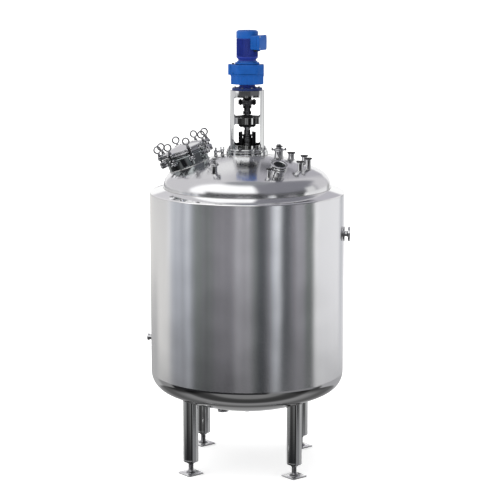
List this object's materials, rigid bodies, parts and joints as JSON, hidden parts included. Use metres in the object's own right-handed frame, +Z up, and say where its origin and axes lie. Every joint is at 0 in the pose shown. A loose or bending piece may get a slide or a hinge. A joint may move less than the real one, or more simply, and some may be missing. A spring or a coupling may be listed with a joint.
{
  "type": "jacketed mixing tank",
  "caption": "Jacketed stainless mixing tank on levelling legs, with dished ends, a tilted manway, head nozzles, a sight glass, and a gearmotor turning an agitator.",
  "frame": {"origin": "on the tank's axis at floor level, under the centre of the vessel", "axes": "+Z up; the manway is towards -X and the jacket inlet towards +X; the picture looks along +Y"},
  "size_m": [1.491, 1.4, 3.157],
  "materials": {
    "polished_steel": "mirror polished stainless steel",
    "satin_steel": "brushed stainless steel",
    "dark_steel": "dark, oiled",
    "blue_paint": "semi-gloss paint on cast housings",
    "sight_glass": "clear"
  },
  "bodies": {
    "tank": {"vessel_shell": "satin_steel", "vessel_bottom": "satin_steel", "jacket_shell": "satin_steel", "lantern": "satin_steel", "adapter_plate": "satin_steel", "vessel_head": "polished_steel", "jacket_shoulder": "polished_steel", "jacket_bottom": "polished_steel", "jacket_inlet": "polished_steel", "jacket_outlet": "polished_steel", "jacket_drain": "polished_steel", "outlet_pipe": "polished_steel", "leg_1": "polished_steel", "leg_2": "polished_steel", "leg_3": "polished_steel", "leg_4": "polished_steel", "foot_1": "polished_steel", "foot_2": "polished_steel", "foot_3": "polished_steel", "foot_4": "polished_steel", "manway_neck": "polished_steel", "manway_lid": "polished_steel", "swing_bolt_1": "polished_steel", "swing_bolt_2": "polished_steel", "swing_bolt_3": "polished_steel", "swing_bolt_4": "polished_steel", "swing_bolt_5": "polished_steel", "swing_bolt_6": "polished_steel", "swing_bolt_7": "polished_steel", "swing_bolt_8": "polished_steel", "spray_nozzle": "polished_steel", "vent_nozzle": "polished_steel", "feed_nozzle_right": "polished_steel", "feed_nozzle_front": "polished_steel", "feed_nozzle_rear": "polished_steel", "lamp_nozzle": "polished_steel", "gauge_nozzle": "polished_steel", "air_nozzle": "polished_steel", "dosing_nozzle": "polished_steel", "spray_clamp": "polished_steel", "dosing_clamp": "polished_steel", "relief_valve": "polished_steel", "level_probe": "polished_steel", "sight_glass_neck": "polished_steel", "sight_glass_ring": "polished_steel", "pad_flange": "polished_steel", "bearing_housing": "dark_steel", "shaft_seal": "dark_steel", "gearbox_case": "blue_paint", "gearbox_cover": "blue_paint", "motor_body": "blue_paint", "fan_cowl": "blue_paint", "terminal_box": "blue_paint", "sight_glass_pane": "sight_glass"},
    "rotor": {"agitator_shaft": "satin_steel", "coupling": "dark_steel", "impeller": "polished_steel"}
  },
  "joints": [
    {"name": "agitator_turn", "type": "hinge", "parent": "tank", "child": "rotor", "pos_m": [0, 0, 2.5], "axis": [0, 0, 1], "continuous": true}
  ]
}
